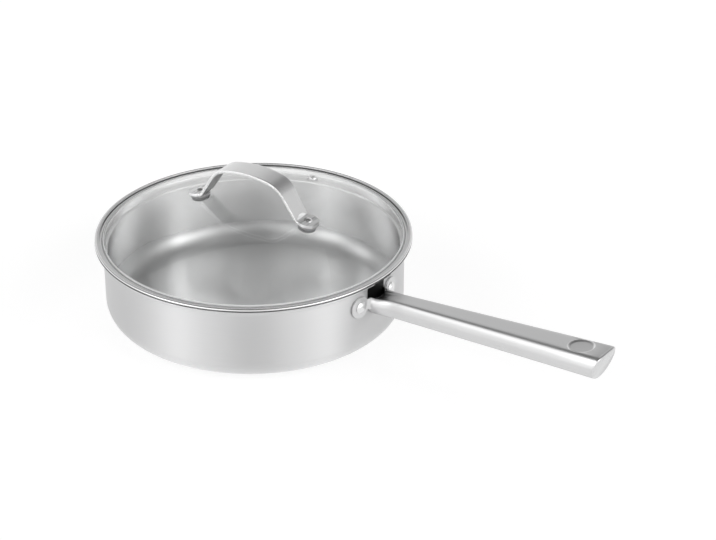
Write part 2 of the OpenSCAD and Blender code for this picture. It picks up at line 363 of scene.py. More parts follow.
def buildFloor():
    # matt paint and a glow that eyes and mirrors see but that lights nothing; from below it is clear
    deselectAll()
    bpy.ops.mesh.primitive_plane_add(size=studio["floorSize"], location=(0, 0, studio["floorZ"]))
    floor = bpy.context.object
    floor.name = "studioFloor"
    material, tree = newMaterial("paleFloor")
    paint = addNode(tree, "BsdfDiffuse")
    paint.inputs["Color"].default_value = studio["floorColour"]
    rays = addNode(tree, "LightPath").outputs
    seen = addMath(tree, "MAXIMUM", rays["Is Camera Ray"], rays["Is Glossy Ray"])
    seen = addMath(tree, "MAXIMUM", seen, rays["Is Transmission Ray"])
    glow = addNode(tree, "Emission")
    feed(tree, glow.inputs["Strength"], addMath(tree, "MULTIPLY", seen, studio["floorGlow"]))
    both = addNode(tree, "AddShader")
    feed(tree, both.inputs[0], paint.outputs[0])
    feed(tree, both.inputs[1], glow.outputs[0])
    below = addNode(tree, "NewGeometry").outputs["Backfacing"]
    clear = addNode(tree, "BsdfTransparent")
    finishTree(tree, mixShaders(tree, below, both.outputs[0], clear.outputs[0]))
    floor.data.materials.append(material)


def buildSky():
    # two bright sides, a dim strip behind the camera and one beyond the pan, and a dark ceiling
    world = bpy.data.worlds.new("softStudio")
    bpy.context.scene.world = world
    world.use_nodes = True
    tree = world.node_tree
    tree.nodes.clear()
    where = addNode(tree, "TexCoord").outputs["Generated"]
    sweep = addNode(tree, "TexGradient", gradient_type="RADIAL")
    feed(tree, sweep.inputs["Vector"], addMapping(tree, where, (0, 0, -photoView["round"]), (1, 1, 1)))
    stops = [(place, grey(level)) for place, level in studio["skyRound"]]
    sides = addRamp(tree, sweep.outputs["Fac"], stops, "EASE")
    up = splitUp(tree, where)["Z"]
    low = fade(tree, up, *studio["backdropFade"], way="SMOOTHSTEP")
    high = fade(tree, up, *studio["topFade"], way="SMOOTHSTEP")
    walls = mix(tree, low, sides, grey(studio["backdrop"]), "LIGHTEN")
    room = addNode(tree, "Background")
    room.inputs["Strength"].default_value = studio["skyStrength"]
    feed(tree, room.inputs["Color"], mix(tree, high, walls, grey(studio["skyTop"])))
    white = addNode(tree, "Background")
    white.inputs["Strength"].default_value = 1
    seen = addNode(tree, "LightPath").outputs["Is Camera Ray"]
    finishTree(tree, mixShaders(tree, seen, room.outputs[0], white.outputs[0]), "OutputWorld")


def buildLamps():
    for name, (place, size, power) in studio["lamps"].items():
        deselectAll()
        bpy.ops.object.light_add(type="AREA", location=place)
        lamp = bpy.context.object
        lamp.name = name
        lamp.data.shape = "RECTANGLE"
        lamp.data.size, lamp.data.size_y = size
        lamp.data.energy = power
        lamp.visible_glossy = False
        lamp.rotation_mode = "QUATERNION"
        lamp.rotation_quaternion = (Vector(place) - Vector(studio["aim"])).to_track_quat("Z", "Y")


buildFloor()
buildSky()
buildLamps()
print("studio ready")


# finishes

steelLooks = {
    "roundBrushedSteel": {
        # the inner colour is the same steel painted lighter inside the pan, as painted light
        "colour": (0.69, 0.69, 0.693), "inner": (0.725, 0.725, 0.727), "shade": 0.018, "rough": 0.46,
        "roughSpread": 0.015, "innerRough": 0.15, "floorRough": 0.34, "wallFrom": (0.006, 0.042),
        # the next line paints the wall in the handle's mouth black, as painted shade
        "soot": 0.012, "sootHalfWidth": 0.0112, "sootFrom": 0.049,
        "stretch": 0.95, "brush": "round", "lines": 3200, "wander": 5, "relief": 0.006,
    },
    "handleSteel": {
        "colour": (0.64, 0.64, 0.642), "shade": 0.02, "rough": 0.3, "roughSpread": 0.03,
        "stretch": 0.8, "brush": (0, -4.85, 0), "lines": (14, 1500, 1500), "relief": 0.01,
        # on the next line the lip's gain is a painted highlight and the grazing tone is painted shade
        "dish": 0.85, "dishLip": 1.5, "grazing": 0.5, "grazingFrom": (0.72, 0.95),
    },
    "strapSteel": {
        "colour": (0.75, 0.75, 0.752), "shade": 0.03, "rough": 0.25, "roughSpread": 0.03,
        "stretch": 0.6, "brush": (0, 0, 4.8), "lines": (14, 1800, 14), "relief": 0.02,
        "feetLow": 0.806, "feetHigh": 1.3, "feetRough": 0.5, "feetTurn": -36, "feetLines": (420, 30, 30),
        # on the next line the leg's tone is painted shade and the edge's gain is a painted highlight
        "leg": 0.84, "legFacing": (0.55, 0.75), "edge": 1.32, "edgeWay": (-0.084, 0.996, 0),
        "edgeFacing": (0.35, 0.7),
    },
    "ringSteel": {
        "colour": (0.78, 0.78, 0.782), "shade": 0.015, "rough": 0.12, "roughSpread": 0.03,
        "stretch": 0.0, "brush": "round", "lines": 2600, "wander": 6, "relief": 0.004,
        # the next line paints shade into the bead's crease, darkest on the far side
        "dirt": (0.05, 0.05, 0.052, 1), "dirtBand": (0.1224, 0.1240), "farWay": (-0.632, 0.775, 0),
        "farFade": (-0.012, 0.03), "nearDirt": 0.06, "mattBand": (0.1214, 0.1256), "mattRough": 0.5,
    },
    "capSteel": {
        "colour": (0.66, 0.66, 0.662), "shade": 0.05, "rough": 0.3, "roughSpread": 0.07,
        "stretch": 0.0, "brush": (0, 0, 0), "lines": (260, 260, 260), "relief": 0.05,
    },
    "polishedSteel": {
        "colour": (0.77, 0.77, 0.772), "shade": 0.05, "rough": 0.25, "roughSpread": 0.08,
        "stretch": 0.0, "brush": (0, 0, 0), "lines": (300, 700, 300), "relief": 0.06,
    },
}
glassLook = {
    "colour": (0.985, 0.99, 0.988, 1), "bend": 1.46, "wipeMarks": 18, "rough": 0.03,
    "frostBand": (0.1192, 0.1198), "frostRough": 0.5, "shadow": (0.96, 0.965, 0.96, 1),
}
siliconeLooks = {
    "darkSilicone": {"dark": (0.3, 0.3, 0.304, 1), "light": (0.38, 0.38, 0.385, 1)},
    "clearSilicone": {"dark": (0.38, 0.38, 0.385, 1), "light": (0.5, 0.5, 0.51, 1)},
}


def roundLines(tree, look):
    # brush lines run round the axis: by radius on a flat face, by height on a wall
    flat, radius, height = roundPlace(tree)
    spread = addNode(tree, "VectorMath", operation="SCALE")
    spread.inputs["Scale"].default_value = look["wander"]
    feed(tree, spread.inputs[0], addVectorMath(tree, "NORMALIZE", flat))
    lift = addNode(tree, "CombineXYZ")
    track = addMath(tree, "ADD", radius, height)
    feed(tree, lift.inputs["Z"], addMath(tree, "MULTIPLY", track, look["lines"]))
    return addVectorMath(tree, "ADD", spread.outputs[0], lift.outputs[0])


def longLines(tree, look):
    # brush lines run along the piece, whose own axes are turned by the look's angles
    return addMapping(tree, objectPlace(tree), look["brush"], [1 / n for n in look["lines"]], "TEXTURE")


def insideMask(tree):
    # one on faces that look up or towards the axis, such as the inside of the pan, and none elsewhere
    facing = facingWay(tree)
    outwards = addVectorMath(tree, "NORMALIZE", roundPlace(tree)[0])
    lean = addVectorMath(tree, "DOT_PRODUCT", outwards, facing)
    return addMath(tree, "GREATER_THAN", addMath(tree, "SUBTRACT", splitUp(tree, facing)["Z"], lean), 0)


def bandMask(tree, near, far):
    # one in a band between two radii, with soft uneven edges
    drift, softness = 0.0004, 0.0003
    speck = addNoise(tree, objectPlace(tree), 160)
    radius = addMath(tree, "ADD", roundPlace(tree)[1], addMath(tree, "MULTIPLY", speck, drift))
    start = fade(tree, radius, near, near + softness)
    stop = fade(tree, radius, far, far - softness)
    return addMath(tree, "MULTIPLY", start, stop)


def mouthShadeMask(tree, inside, halfWidth, low):
    # one on the outer wall inside the handle's mouth, where shade is painted black, with soft edges
    axes = splitUp(tree, objectPlace(tree))
    share = addMath(tree, "SUBTRACT", 1, inside)
    for value, start, stop in (
        (addMath(tree, "ABSOLUTE", axes["Y"]), halfWidth, halfWidth - 0.0008),
        (axes["Z"], low, low + 0.002),
        (axes["X"], 0.1, 0.102),  # leaves out the wall across the pan
    ):
        share = addMath(tree, "MULTIPLY", share, fade(tree, value, start, stop))
    return share


def panPaintedLightAndGloss(tree, look, colour, rough):
    # the inside is painted lighter as painted light and made glossier, its floor and heel duller, and the
    # handle's mouth is painted black as shade
    inside = insideMask(tree)
    paintedInsideLight = [i / c for i, c in zip(look["inner"], look["colour"])] + [1]
    colour = mix(tree, 1, colour, mix(tree, inside, grey(1), paintedInsideLight), "MULTIPLY")
    soot = mouthShadeMask(tree, inside, look["sootHalfWidth"], look["sootFrom"])
    colour = mix(tree, soot, colour, grey(look["soot"]))
    height = splitUp(tree, objectPlace(tree))["Z"]
    floorMore, wallMore = look["floorRough"] - look["rough"], look["innerRough"] - look["rough"]
    more = fade(tree, height, *look["wallFrom"], floorMore, wallMore, "SMOOTHSTEP")
    return colour, addMath(tree, "ADD", rough, fade(tree, inside, 0, 1, 0, more))


def ringPaintedShadeAndMatt(tree, look, colour, rough):
    # painted shade lies in the bead's crease, most of it on the far side, and the flange round it is matt
    far = addVectorMath(tree, "DOT_PRODUCT", objectPlace(tree), look["farWay"])
    amount = fade(tree, far, *look["farFade"], look["nearDirt"])
    dirt = addMath(tree, "MULTIPLY", bandMask(tree, *look["dirtBand"]), amount)
    colour = mix(tree, dirt, colour, look["dirt"])
    return colour, mix(tree, bandMask(tree, *look["mattBand"]), rough, look["mattRough"], kind="FLOAT")


def steelMaterial(name, paintedLightAndRoughness=None):
    # a brushed metal; the last argument is a function that changes its colour and roughness from place to
    # place, painting light and shade into the colour
    look = steelLooks[name]
    material, tree = newMaterial(name)
    steel = addNode(tree, "BsdfPrincipled")
    steel.inputs["Metallic"].default_value = 1
    steel.inputs["Anisotropic"].default_value = look["stretch"]
    steel.inputs["Anisotropic Rotation"].default_value = 0.25
    if look["brush"] == "round":
        lines = roundLines(tree, look)
        along = addNode(tree, "Tangent", direction_type="RADIAL", axis="Z")
    else:
        lines = longLines(tree, look)
        along = addNode(tree, "CombineXYZ")
        turned = Euler([math.radians(a) for a in look["brush"]]).to_matrix() @ Vector((1, 0, 0))
        for socket, part in zip(along.inputs, turned):
            socket.default_value = part
    feed(tree, steel.inputs["Tangent"], along.outputs[0])
    grain = addNoise(tree, lines, 1, 3)
    cloud = addNoise(tree, objectPlace(tree), 22)  # slow drift of tone and gloss
    blend = addMath(tree, "MULTIPLY", addMath(tree, "ADD", grain, cloud), 0.5)
    shade, spread = look["shade"], look["roughSpread"]
    low, high = [tuple(c + s for c in look["colour"]) + (1,) for s in (-shade, shade)]
    colour = addRamp(tree, blend, ((0.3, low), (0.7, high)))
    rough = fade(tree, blend, 0.3, 0.7, look["rough"] - spread, look["rough"] + spread)
    if paintedLightAndRoughness:
        colour, rough = paintedLightAndRoughness(tree, look, colour, rough)
    feed(tree, steel.inputs["Base Color"], colour)
    feed(tree, steel.inputs["Roughness"], rough)
    feed(tree, steel.inputs["Normal"], addBump(tree, grain, look["relief"], 0.0002))
    finishTree(tree, steel.outputs[0])
    return material


def glassMaterial():
    look = glassLook
    material, tree = newMaterial("clearGlass")
    glass = addNode(tree, "BsdfPrincipled")
    glass.inputs["Base Color"].default_value = look["colour"]
    glass.inputs["IOR"].default_value = look["bend"]
    film = addNoise(tree, objectPlace(tree), look["wipeMarks"], 3)
    wiped = fade(tree, film, 0, 1, 0, look["rough"])
    frost = fade(tree, roundPlace(tree)[1], *look["frostBand"], 0, look["frostRough"])  # on the ground edge
    feed(tree, glass.inputs["Roughness"], addMath(tree, "ADD", wiped, frost))
    feed(tree, glass.inputs["Transmission Weight"], addMath(tree, "SUBTRACT", 1, frost))
    clear = addNode(tree, "BsdfTransparent")
    clear.inputs["Color"].default_value = look["shadow"]
    shadow = addNode(tree, "LightPath").outputs["Is Shadow Ray"]
    finishTree(tree, mixShaders(tree, shadow, glass.outputs[0], clear.outputs[0]))
    return material


def siliconeMaterial(name):
    look = siliconeLooks[name]
    material, tree = newMaterial(name)
    rubber = addNode(tree, "BsdfPrincipled")
    rubber.inputs["Specular IOR Level"].default_value = 0.35
    dust = addNoise(tree, objectPlace(tree), 900, 4)
    feed(tree, rubber.inputs["Base Color"], addRamp(tree, dust, ((0, look["dark"]), (1, look["light"]))))
    feed(tree, rubber.inputs["Roughness"], fade(tree, dust, 0, 1, 0.5, 0.75))
    feed(tree, rubber.inputs["Normal"], addBump(tree, dust, 0.15, 0.0001))
    finishTree(tree, rubber.outputs[0])
    return material


roundSteel = steelMaterial("roundBrushedSteel", panPaintedLightAndGloss)
brightSteel = steelMaterial("polishedSteel")
ringSteel = steelMaterial("ringSteel", ringPaintedShadeAndMatt)
clearGlass = glassMaterial()
darkSilicone = siliconeMaterial("darkSilicone")
clearSilicone = siliconeMaterial("clearSilicone")
print("finishes ready")


# pan

pan = {
    "wallRadius": 0.1204, "sheet": 0.0009, "lipHeight": 0.0697, "cornerRadius": 0.0164,
    "flareRadius": 0.0071, "lipRadius": 0.1265, "baseHeight": 0.0049, "baseRadius": 0.098,
    "capSheet": 0.0006, "capEdge": 0.0026,
    "floorRings": (0.03, 0.07), "wallRings": (0.035, 0.05), "capRing": 0.05,  # within the plain stretches
}


def buildPan():
    p = pan
    wall, sheet, corner, flare = p["wallRadius"], p["sheet"], p["cornerRadius"], p["flareRadius"]
    floorZ = p["baseHeight"]
    flareZ = p["lipHeight"] - sheet - flare
    flareX = wall + flare
    lipTop = math.degrees(math.acos((p["lipRadius"] - flareX) / (flare + sheet)))
    lipLow = math.degrees(math.acos((p["lipRadius"] - flareX) / flare))
    outline = [(r, floorZ + sheet) for r in (0,) + p["floorRings"]]
    outline += arcPoints(wall - corner, floorZ + corner, corner - sheet, -90, 0, 16)
    outline += [(wall - sheet, z) for z in p["wallRings"]]
    outline += arcPoints(flareX, flareZ, flare + sheet, 180, lipTop, 16)
    outline += arcPoints(p["lipRadius"], p["lipHeight"] - sheet / 2, sheet / 2, 70, -70, 6)
    outline += arcPoints(flareX, flareZ, flare, lipLow, 180, 16)
    outline += [(wall, z) for z in p["wallRings"][::-1]]
    outline += arcPoints(wall - corner, floorZ + corner, corner, 0, -90, 16)
    outline += [(r, floorZ) for r in p["floorRings"][::-1] + (0,)]
    piece = turnedPiece("panBody", outline)
    smooth(piece, 40)
    finishPiece(piece, roundSteel, "pan", "pan_body")


def buildBase():
    p = pan
    r, edge, sheet, top = p["baseRadius"], p["capEdge"], p["capSheet"], p["baseHeight"]
    outline = [(0, sheet), (r - edge, sheet)]
    outline += arcPoints(r - edge, edge, edge - sheet, -80, 0, 6)
    outline += [(r - sheet, top), (r, top)]
    outline += arcPoints(r - edge, edge, edge, 0, -90, 8)
    outline += [(p["capRing"], 0), (0, 0)]
    piece = turnedPiece("baseCap", outline)
    smooth(piece, 40)
    finishPiece(piece, roundSteel, "pan", "base_cap")


buildPan()
buildBase()
print("pan ready")


# handle

handle = {
    "height": 0.0565, "rise": 4.85, "length": 0.2065, "start": 0.0030, "sheet": 0.0014, "sections": 96,
    "nearWidth": 0.0149, "farWidth": 0.0262, "lobeWidth": 0.020, "lobeLength": 0.022,
    "nearDepth": 0.0175, "farDepth": 0.022, "sideLean": 0.04, "topFrom": -0.0041, "edge": 0.0003,
    "stations": (0.0068, 0.009, 0.0115, 0.014, 0.0165, 0.019, 0.022, 0.028, 0.05, 0.08, 0.11, 0.14, 0.17),
    "mouthReach": 0.0022, "scoop": 0.0026, "scoopStart": 0.0052,
    "scoopSteps": ((0.86, 0.25), (0.62, 0.4), (0.34, 0.35)),  # share of the width and of the depth
    "softShare": 0.93, "softEnd": 0.021,
    "dishPlace": 0.184, "dishRadius": 0.00975, "dishDepth": 0.0009, "dishFoot": 0.0024, "dishLip": 0.0009,
    "endSlant": 17, "capThickness": 0.0024, "capGap": 0.00005, "capBevel": 0.0018, "capDeep": 0.0032,
    "capRings": ((0.0005, 0.99), (0.0004, 0.975), (0.0003, 0.96), (0.0002, 0.94)),  # step out, share of size
}
ear = {
    "span": 0.0199, "radius": 0.0088, "drop": 0.0053, "face": 0.0016, "bend": 0.0015, "bendSide": 0.0130,
    "bendTurns": ((30, 0.55), (60, 0.4), (90, 0)), "roundTurns": (-40, 85, 9),
}


def ease(u):
    return (1 + math.cos(math.pi * min(max(u, 0), 1))) / 2


def handleHalf(x):
    # radius across of the oval ring, whose flat top is narrower by the cosine of 30 degrees
    h = handle
    width = h["nearWidth"] + (h["farWidth"] - h["nearWidth"]) * x / h["length"]
    width += (h["lobeWidth"] - h["nearWidth"]) * ease(x / h["lobeLength"])
    return width / 2 / math.cos(math.radians(30))


def topHalf(x):
    return handleHalf(x) * math.cos(math.radians(30))


def handleDrop(x):
    # upright radius of the ring, of which the flat top leaves one and a half
    h = handle
    return (h["nearDepth"] + (h["farDepth"] - h["nearDepth"]) * x / h["length"]) * 2 / 3


def handlePlace():
    h = handle
    tilt = Matrix.Rotation(math.radians(-h["rise"]), 4, "Y")
    return Matrix.Translation((pan["wallRadius"], 0, h["height"])) @ tilt


def handleRing(name, x):
    # an oval ring standing across the handle, with its top pressed flat and its sides leaning in
    h = handle
    deselectAll()
    bpy.ops.mesh.primitive_circle_add(vertices=h["sections"], radius=1, rotation=(0, math.radians(90), 0))
    piece = bpy.context.object
    piece.name = name
    applyPlace()
    bpy.ops.object.mode_set(mode="EDIT")
    flat = 0.5  # the top's height on a ring of radius one
    pick(piece, lambda v: v.co.z > flat + 0.001)
    stretch((1, 1, 0), (0, 0, flat))
    for k in range(1, 9):
        level = math.sin(math.radians(360 / h["sections"] * k))
        pick(piece, lambda v: abs(v.co.z - level) < 0.002)
        stretch((1, 1 - h["sideLean"] * (level / flat) ** 2, 1), (0, 0, 0))
    pick(piece, lambda v: v.co.z > -0.05 and abs(v.co.y) > 0.5)
    bpy.ops.mesh.vertices_smooth(factor=0.5, repeat=24)
    bpy.ops.mesh.select_all(action="SELECT")
    shift((x, 0, -flat))
    stretch((1, handleHalf(x), handleDrop(x)), (x, 0, 0))
    return piece


def pullRing(fromX, toX):
    pullOut((toX - fromX, 0, 0))
    stretch((1, handleHalf(toX) / handleHalf(fromX), handleDrop(toX) / handleDrop(fromX)), (toX, 0, 0))


def slantRing(x):
    angle = math.radians(handle["endSlant"])
    stretch((1, 1, 1 / math.cos(angle)), (x, 0, 0))
    bpy.ops.transform.rotate(value=-angle, orient_axis="Y", center_override=(x, 0, 0))


def pickTop(piece, x, half):
    # the points of the flat top at one station
    pick(piece, lambda v: abs(v.co.x - x) < 1e-5 and abs(v.co.y) < half and v.co.z > handle["topFrom"])


def pressScoop(piece):
    # the flat top sinks towards the mouth, in three widths, and is then smoothed
    h = handle
    for x in (h["start"],) + h["stations"][:6]:
        depth = h["scoop"] * ease((x - h["scoopStart"]) / (h["lobeLength"] - h["scoopStart"]))
        for share, part in h["scoopSteps"]:
            pickTop(piece, x, topHalf(x) * share)
            shift((0, 0, -depth * part))
    inner = topHalf(0) * h["softShare"]
    pick(piece, lambda v: v.co.x < h["softEnd"] and abs(v.co.y) < inner and v.co.z > h["topFrom"])
    bpy.ops.mesh.vertices_smooth(factor=0.5, repeat=4)


def curveMouth(piece):
    # the front edge of the top sheet bows away from the wall
    h = handle
    corner = topHalf(h["start"])
    rows = {}
    pickTop(piece, h["start"], corner - 1e-5)
    mesh = bmesh.from_edit_mesh(piece.data)
    for v in mesh.verts:
        if v.select:
            rows.setdefault(round(abs(v.co.y), 5), []).append(v.index)
    for away, row in rows.items():
        pickRow(piece, row)
        shift((h["mouthReach"] * math.sqrt(max(0, 1 - (away / corner) ** 2)), 0, 0))


def firstRingParts(piece):
    # which of the first ring's points belong to the ears, and which to the belly
    h = handle
    mesh = bmesh.from_edit_mesh(piece.data)
    mesh.verts.ensure_lookup_table()
    rise = math.radians(h["rise"])
    half, drop = handleHalf(h["start"]), handleDrop(h["start"])
    sides, belly = {1: [], -1: []}, []
    for v in list(mesh.verts)[:h["sections"]]:
        x, z = v.co.x - pan["wallRadius"], v.co.z - h["height"]
        up = (z * math.cos(rise) - x * math.sin(rise)) / drop + 0.5
        turn = math.degrees(math.atan2(up, abs(v.co.y) / half))
        onSide = abs((v.co.y / half) ** 2 + up ** 2 - 1) < 0.3
        if -19 < turn < 33 and onSide:
            sides[1 if v.co.y > 0 else -1].append((turn, v.index))
        if turn < -18.5:
            belly.append(v.index)
    return {hand: [i for _, i in sorted(row)] for hand, row in sides.items()}, belly


def wallFace(side):
    return math.sqrt((pan["wallRadius"] + ear["face"]) ** 2 - side ** 2)


def turnEar(piece, row, hand):
    # the side of the tube bends round and lies along the wall, as a round ear
    rows = [row]
    bendX = wallFace(ear["bendSide"])
    earZ = handle["height"] - ear["drop"]
    mesh = bmesh.from_edit_mesh(piece.data)
    mesh.verts.ensure_lookup_table()
    heights = [mesh.verts[i].co.z for i in row]
    places = []
    for turn, keep in ear["bendTurns"]:
        a = math.radians(turn)
        out, side = ear["bend"] * (1 - math.sin(a)), ear["bend"] * math.cos(a)
        places.append((bendX + out, ear["bendSide"] - side, keep, None))
    for turn in range(*ear["roundTurns"]):
        a = math.radians(turn)
        y = ear["span"] + ear["radius"] * math.sin(a)
        if y > ear["bendSide"] + 0.0005:
            places.append((wallFace(y), y, 0, ear["radius"] * math.cos(a)))
    high, low = max(heights), min(heights)
    for x, y, keep, half in places:
        pickRow(piece, rows[-1])
        pullOut((0, 0, 0))
        rows.append(pickedRow(piece))
        stretch((keep, keep, 1), (x, y * hand, 0))
        if half:
            newHigh, newLow = earZ + half, earZ - half
            middle = (high + low) / 2
            stretch((1, 1, (newHigh - newLow) / (high - low)), (x, y * hand, middle))
            shift((0, 0, (newHigh + newLow) / 2 - middle))
            high, low = newHigh, newLow
    return rows


def meetWall(piece, belly):
    # the belly runs on until it meets the wall
    pickRow(piece, belly)
    pullOut((0, 0, 0))
    row = pickedRow(piece)
    reach = pan["wallRadius"] + 0.00015
    mesh = bmesh.from_edit_mesh(piece.data)
    mesh.verts.ensure_lookup_table()
    moves = {i: math.sqrt(reach ** 2 - mesh.verts[i].co.y ** 2) - mesh.verts[i].co.x for i in row}
    for i, move in moves.items():
        pickRow(piece, [i])
        shift((move, 0, 0))
    return row


def closeCorners(piece, earRows, wallRow):
    # a small web closes the corner between each ear's lower edge and the belly
    for rows in earRows:
        mesh = bmesh.from_edit_mesh(piece.data)
        mesh.verts.ensure_lookup_table()
        corner = mesh.verts[rows[0][0]].co
        end = min(wallRow, key=lambda i: (mesh.verts[i].co - corner).length)
        lower = [min(row, key=lambda i: mesh.verts[i].co.z) for row in rows[:4]]
        pickRow(piece, lower + [end])
        bpy.ops.mesh.edge_face_add()


def dishOutline():
    # the dish's sloping wall with a wide rounded foot and a rounded lip
    h = handle
    r, deep, foot, lip = h["dishRadius"], h["dishDepth"], h["dishFoot"], h["dishLip"]
    outline = [(0, -deep)] + arcPoints(r - 0.0022, foot - deep, foot, -90, -60, 6)
    outline += arcPoints(r + 0.0004, -lip, lip, 128, 92, 5)
    return outline + [(r + 0.0005, 0.004), (0, 0.004)]


def handleDishAndPaintedLight(tree, look, colour, rough):
    # the dish is darker, its lip is painted brighter as a highlight, and painted shade darkens the sides
    # where they turn away from the eye
    r = handle["dishRadius"]
    middle = handlePlace() @ Vector((handle["dishPlace"], 0, 0))
    gap = addVectorMath(tree, "DISTANCE", objectPlace(tree), middle)
    dish = fade(tree, gap, r, r * 0.88)
    lip = addMath(tree, "SUBTRACT", fade(tree, gap, r * 1.1, r * 1.02), dish, clamp=True)
    turned = addNode(tree, "LayerWeight")
    turned.inputs["Blend"].default_value = 0.5
    away = fade(tree, turned.outputs["Facing"], *look["grazingFrom"])
    for share, tone in ((dish, look["dish"]), (lip, look["dishLip"]), (away, look["grazing"])):
        colour = mix(tree, share, colour, grey(tone), "MULTIPLY")
    return colour, rough


handleSteel = steelMaterial("handleSteel", handleDishAndPaintedLight)
capSteel = steelMaterial("capSteel")


def buildHandle():
    h = handle
    piece = handleRing("handleShell", h["start"])
    last = h["start"]
    for x in h["stations"] + (h["length"] - h["capThickness"],):
        pullRing(last, x)
        last = x
    slantRing(last)
    pressScoop(piece)
    curveMouth(piece)
    endEdit()
    placePiece(piece, handlePlace())
    startEdit(piece)
    sides, belly = firstRingParts(piece)
    earRows = [turnEar(piece, sides[hand], hand) for hand in (1, -1)]
    closeCorners(piece, earRows, meetWall(piece, belly))
    turnOutwards()
    mesh = bmesh.from_edit_mesh(piece.data)
    if min(mesh.faces, key=lambda f: f.calc_center_median().z).normal.z > 0:
        bpy.ops.mesh.flip_normals()
    endEdit()
    thicken(piece, h["sheet"], -1)
    softenEdges(piece, h["edge"], 42)
    startEdit(piece)
    turnOutwards()
    if bmesh.from_edit_mesh(piece.data).calc_volume(signed=True) < 0:
        bpy.ops.mesh.flip_normals()
    endEdit()
    dish = turnedPiece("dishCutter", dishOutline(), 96)
    placePiece(dish, handlePlace() @ Matrix.Translation((h["dishPlace"], 0, 0)))
    cutAway(piece, dish)
    smooth(piece)
    finishPiece(piece, handleSteel, "pan", "handle_shell")


def buildEndCap():
    h = handle
    inner = h["length"] - h["capThickness"] + h["capGap"]
    piece = handleRing("handleEndCap", inner)
    slantRing(inner)
    slide = h["capThickness"] - h["capBevel"]
    pullOut((slide, 0, 0))
    endEdit()
    startEdit(piece)  # numbers the points afresh
    pickRow(piece, range(h["sections"], 2 * h["sections"]))
    middle = (inner + slide - h["capDeep"], 0, -handleDrop(inner) / 2)  # the rim's rings shrink about it
    for out, grow in h["capRings"]:
        pullOut((out, 0, 0))
        stretch((1, grow, grow), middle)
    bpy.ops.mesh.edge_face_add()
    bpy.ops.mesh.inset(thickness=0.0006, depth=0.0)
    bpy.ops.mesh.inset(thickness=0.0004, depth=-0.00025)
    pickRow(piece, range(h["sections"]))
    bpy.ops.mesh.edge_face_add()
    squareUp()
    endEdit()
    placePiece(piece, handlePlace())
    smooth(piece)
    finishPiece(piece, capSteel, "pan", "handle_end_cap")


rivet = {"shank": 0.00298, "head": 0.005, "headHeight": 0.0021, "tailHeight": 0.0013, "seat": 0.0001}


def rivetOutline(shank, head, headHeight, grip, tail, tailHeight):
    # domed head, shank and formed tail, turned about the rivet's own axis
    edge = 0.0004
    ball = (head ** 2 + headHeight ** 2) / (2 * headHeight)
    rim = math.degrees(math.acos(head / ball))
    outline = [(0, -grip - tailHeight), (tail * 0.6, -grip - tailHeight)]
    outline += arcPoints(tail - edge, edge - grip - tailHeight, edge, -90, 0, 4)
    outline += [(tail, -grip), (shank, -grip), (shank, 0), (head - 0.0002, 0)]
    outline += arcPoints(0, headHeight - ball, ball, rim + 3, 86, 10)
    return outline + [(0, headHeight)]


def buildPanRivets():
    r = rivet
    angle = math.asin(ear["span"] / (pan["wallRadius"] + 0.002))  # near the rivet's seat
    face = ear["face"] + r["seat"]
    grip = face + pan["sheet"] + 2 * r["seat"]
    outline = rivetOutline(r["shank"], r["head"], r["headHeight"], grip, r["head"], r["tailHeight"])
    out = Matrix.Translation((pan["wallRadius"] + face, 0, handle["height"] - ear["drop"]))
    for side, hand in (("left", 1), ("right", -1)):
        piece = turnedPiece("panRivet" + side.capitalize(), outline, 64)
        swing = Matrix.Rotation(hand * angle, 4, "Z")
        placePiece(piece, swing @ out @ Matrix.Rotation(math.radians(90), 4, "Y"))
        smooth(piece)
        finishPiece(piece, brightSteel, "pan", "handle_rivet_" + side)


buildHandle()
buildEndCap()
buildPanRivets()
print("handle ready")


# lid

lid = {
    "turn": 4.8, "domeHeight": 0.024, "glass": 0.004, "glassRadius": 0.1202, "groundEdge": 0.0011,
    "lip": 0.070, "ringSheet": 0.0006, "ringHeight": 0.0021, "seamRadius": 0.1209, "ringRadius": 0.1268,
    "skirtRadius": 0.1183, "skirtDepth": 0.0097, "skirtCurl": 0.0008, "flangeFall": 0.00035,
    "strapSpan": 0.102, "rivetHole": 0.004, "ventHole": 0.0032, "ventOut": 0.088,
}
glassEdge = lid["lip"] + lid["ringHeight"] - 0.0001
domeRadius = (lid["glassRadius"] ** 2 + lid["domeHeight"] ** 2) / (2 * lid["domeHeight"])
domeZ = glassEdge + lid["domeHeight"] - domeRadius
footTilt = math.degrees(math.asin(lid["strapSpan"] / 2 / domeRadius))
ventTilt = math.degrees(math.asin(lid["ventOut"] / domeRadius))


def onDome(tilt, turn=0):
    # a place on the glass's outer face, with local z straight out of it
    swing = Matrix.Rotation(math.radians(lid["turn"] + turn), 4, "Z")
    lean = Matrix.Rotation(math.radians(tilt), 4, "Y")
    return Matrix.Translation((0, 0, domeZ)) @ swing @ lean @ Matrix.Translation((0, 0, domeRadius))


def buildGlass():
    g = lid
    under, ground = domeRadius - g["glass"], g["groundEdge"]
    underRim = math.degrees(math.acos(g["glassRadius"] / under))
    groundX = g["glassRadius"] - ground
    rim = math.degrees(math.acos(groundX / (domeRadius - ground)))
    groundZ = domeZ + (domeRadius - ground) * math.sin(math.radians(rim))
    outline = [(0, domeZ + domeRadius)]
    outline += arcPoints(0, domeZ, domeRadius, 89.7, rim + 0.1, 40)
    outline += arcPoints(groundX, groundZ, ground, rim, 0, 6)
    outline += [(g["glassRadius"], domeZ + under * math.sin(math.radians(underRim)) + 0.0003)]
    outline += arcPoints(0, domeZ, under, underRim + 0.08, 89.7, 40)
    outline += [(0, domeZ + under)]
    piece = turnedPiece("lidGlass", outline)
    holes = ((footTilt, 0, g["rivetHole"]), (-footTilt, 0, g["rivetHole"]), (ventTilt, 90, g["ventHole"]))
    for tilt, turn, radius in holes:
        drill = turnedPiece("glassDrill", [(0, -0.01), (radius, -0.01), (radius, 0.01), (0, 0.01)], 64)
        placePiece(drill, onDome(tilt, turn))
        cutAway(piece, drill)
    smooth(piece)
    finishPiece(piece, clearGlass, "lid", "lid_glass")


